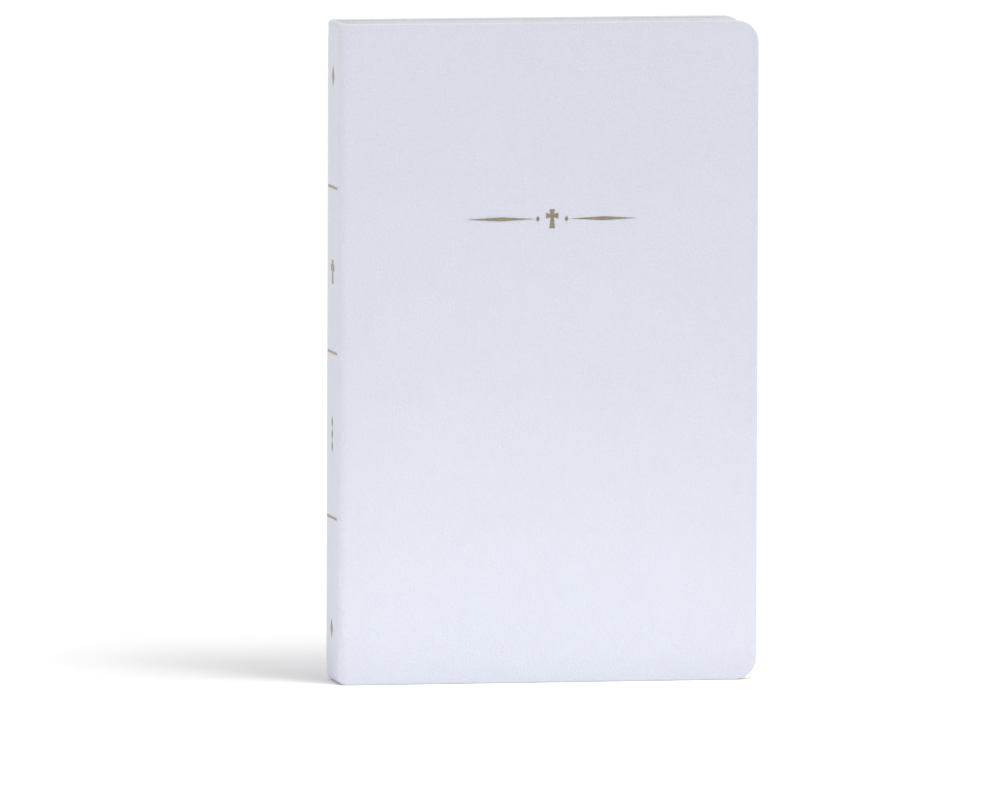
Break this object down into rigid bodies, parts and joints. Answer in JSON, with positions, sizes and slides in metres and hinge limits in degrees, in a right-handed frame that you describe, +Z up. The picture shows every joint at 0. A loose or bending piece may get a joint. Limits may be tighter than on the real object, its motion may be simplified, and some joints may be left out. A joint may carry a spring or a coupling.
{
  "type": "bible",
  "caption": "Soft-cover Bible standing upright: white imitation-leather wrap with rounded fore-edge corners, gold foil rules and a small cross, and a page block that fans open",
  "frame": {"origin": "middle of the foot of the closed book, level with the bottom edges of the covers", "axes": "+Z up along the height with the book standing on its tail, +X from the spine to the fore edge, +Y from the front cover to the back cover, so the front cover faces -Y"},
  "size_m": [0.137, 0.024, 0.213],
  "materials": {
    "white_leather": "white imitation leather with a fine pebble grain, soft sheen",
    "gold_foil": "pale antique gold stamping foil, slightly worn, satin metallic",
    "grey_card": "plain grey stiffener card, matt",
    "mull": "open-weave cotton mull, starched",
    "glue": "clear-cream hot-melt adhesive, set hard",
    "endpaper": "smooth off-white endpaper",
    "page_paper": "thin cream Bible paper, matt, close-stacked edges"
  },
  "bodies": {
    "spine": {"spine_leather": "white_leather", "spine_card": "grey_card", "spine_lining": "grey_card", "mull_cloth": "mull", "binding_glue": "glue", "spine_rules_foil": "gold_foil", "spine_ornament_foil": "gold_foil"},
    "front_cover": {"front_cover_leather": "white_leather", "front_cover_board": "grey_card", "front_pastedown": "endpaper", "front_ornament_foil": "gold_foil"},
    "back_cover": {"back_cover_leather": "white_leather", "back_cover_board": "grey_card", "back_pastedown": "endpaper"},
    "front_flyleaf": {"front_flyleaf": "endpaper"},
    "presentation_page": {"presentation_page": "page_paper"},
    "section_01": {"section_01": "page_paper"},
    "section_02": {"section_02": "page_paper"},
    "section_03": {"section_03": "page_paper"},
    "section_04": {"section_04": "page_paper"},
    "section_05": {"section_05": "page_paper"},
    "section_06": {"section_06": "page_paper"},
    "section_07": {"section_07": "page_paper"},
    "back_flyleaf": {"back_flyleaf": "endpaper"},
    "map_page": {"map_page": "page_paper"},
    "section_14": {"section_14": "page_paper"},
    "section_13": {"section_13": "page_paper"},
    "section_12": {"section_12": "page_paper"},
    "section_11": {"section_11": "page_paper"},
    "section_10": {"section_10": "page_paper"},
    "section_09": {"section_09": "page_paper"},
    "section_08": {"section_08": "page_paper"}
  },
  "joints": [
    {"name": "front_cover_hinge", "type": "hinge", "parent": "spine", "child": "front_cover", "pos_m": [-0.0651, -0.012, 0], "axis": [0, 0, -1], "range_deg": [0, 170], "stiffness_Nm_per_rad": 0.004},
    {"name": "back_cover_hinge", "type": "hinge", "parent": "spine", "child": "back_cover", "pos_m": [-0.0651, 0.012, 0], "axis": [0, 0, 1], "range_deg": [0, 170], "stiffness_Nm_per_rad": 0.004},
    {"name": "front_flyleaf_fold", "type": "hinge", "parent": "spine", "child": "front_flyleaf", "pos_m": [-0.0631, -0.01025, 0], "axis": [0, 0, -1], "range_deg": [0, 81]},
    {"name": "presentation_page_fold", "type": "hinge", "parent": "spine", "child": "presentation_page", "pos_m": [-0.06275, -0.01, 0], "axis": [0, 0, -1], "range_deg": [0, 75]},
    {"name": "section_01_fold", "type": "hinge", "parent": "spine", "child": "section_01", "pos_m": [-0.0624, -0.00919, 0], "axis": [0, 0, -1], "range_deg": [0, 68]},
    {"name": "section_02_fold", "type": "hinge", "parent": "spine", "child": "section_02", "pos_m": [-0.06205, -0.00778, 0], "axis": [0, 0, -1], "range_deg": [0, 59]},
    {"name": "section_03_fold", "type": "hinge", "parent": "spine", "child": "section_03", "pos_m": [-0.0617, -0.00636, 0], "axis": [0, 0, -1], "range_deg": [0, 50]},
    {"name": "section_04_fold", "type": "hinge", "parent": "spine", "child": "section_04", "pos_m": [-0.06135, -0.00495, 0], "axis": [0, 0, -1], "range_deg": [0, 41]},
    {"name": "section_05_fold", "type": "hinge", "parent": "spine", "child": "section_05", "pos_m": [-0.06135, -0.00354, 0], "axis": [0, 0, -1], "range_deg": [0, 32]},
    {"name": "section_06_fold", "type": "hinge", "parent": "spine", "child": "section_06", "pos_m": [-0.06135, -0.00212, 0], "axis": [0, 0, -1], "range_deg": [0, 23]},
    {"name": "section_07_fold", "type": "hinge", "parent": "spine", "child": "section_07", "pos_m": [-0.06135, -0.00071, 0], "axis": [0, 0, -1], "range_deg": [0, 14]},
    {"name": "back_flyleaf_fold", "type": "hinge", "parent": "spine", "child": "back_flyleaf", "pos_m": [-0.0631, 0.01025, 0], "axis": [0, 0, 1], "range_deg": [0, 81]},
    {"name": "map_page_fold", "type": "hinge", "parent": "spine", "child": "map_page", "pos_m": [-0.06275, 0.01, 0], "axis": [0, 0, 1], "range_deg": [0, 75]},
    {"name": "section_14_fold", "type": "hinge", "parent": "spine", "child": "section_14", "pos_m": [-0.0624, 0.00919, 0], "axis": [0, 0, 1], "range_deg": [0, 68]},
    {"name": "section_13_fold", "type": "hinge", "parent": "spine", "child": "section_13", "pos_m": [-0.06205, 0.00778, 0], "axis": [0, 0, 1], "range_deg": [0, 59]},
    {"name": "section_12_fold", "type": "hinge", "parent": "spine", "child": "section_12", "pos_m": [-0.0617, 0.00636, 0], "axis": [0, 0, 1], "range_deg": [0, 50]},
    {"name": "section_11_fold", "type": "hinge", "parent": "spine", "child": "section_11", "pos_m": [-0.06135, 0.00495, 0], "axis": [0, 0, 1], "range_deg": [0, 41]},
    {"name": "section_10_fold", "type": "hinge", "parent": "spine", "child": "section_10", "pos_m": [-0.06135, 0.00354, 0], "axis": [0, 0, 1], "range_deg": [0, 32]},
    {"name": "section_09_fold", "type": "hinge", "parent": "spine", "child": "section_09", "pos_m": [-0.06135, 0.00212, 0], "axis": [0, 0, 1], "range_deg": [0, 23]},
    {"name": "section_08_fold", "type": "hinge", "parent": "spine", "child": "section_08", "pos_m": [-0.06135, 0.00071, 0], "axis": [0, 0, 1], "range_deg": [0, 14]}
  ],
  "couplings": [
    {"joint": "front_flyleaf_fold", "follows": "front_cover_hinge", "ratio": 0.47059},
    {"joint": "presentation_page_fold", "follows": "front_cover_hinge", "ratio": 0.43529},
    {"joint": "section_01_fold", "follows": "front_cover_hinge", "ratio": 0.39412},
    {"joint": "section_02_fold", "follows": "front_cover_hinge", "ratio": 0.34118},
    {"joint": "section_03_fold", "follows": "front_cover_hinge", "ratio": 0.28824},
    {"joint": "section_04_fold", "follows": "front_cover_hinge", "ratio": 0.23529},
    {"joint": "section_05_fold", "follows": "front_cover_hinge", "ratio": 0.18235},
    {"joint": "section_06_fold", "follows": "front_cover_hinge", "ratio": 0.12941},
    {"joint": "section_07_fold", "follows": "front_cover_hinge", "ratio": 0.076471},
    {"joint": "back_flyleaf_fold", "follows": "back_cover_hinge", "ratio": 0.47059},
    {"joint": "map_page_fold", "follows": "back_cover_hinge", "ratio": 0.43529},
    {"joint": "section_14_fold", "follows": "back_cover_hinge", "ratio": 0.39412},
    {"joint": "section_13_fold", "follows": "back_cover_hinge", "ratio": 0.34118},
    {"joint": "section_12_fold", "follows": "back_cover_hinge", "ratio": 0.28824},
    {"joint": "section_11_fold", "follows": "back_cover_hinge", "ratio": 0.23529},
    {"joint": "section_10_fold", "follows": "back_cover_hinge", "ratio": 0.18235},
    {"joint": "section_09_fold", "follows": "back_cover_hinge", "ratio": 0.12941},
    {"joint": "section_08_fold", "follows": "back_cover_hinge", "ratio": 0.076471}
  ]
}
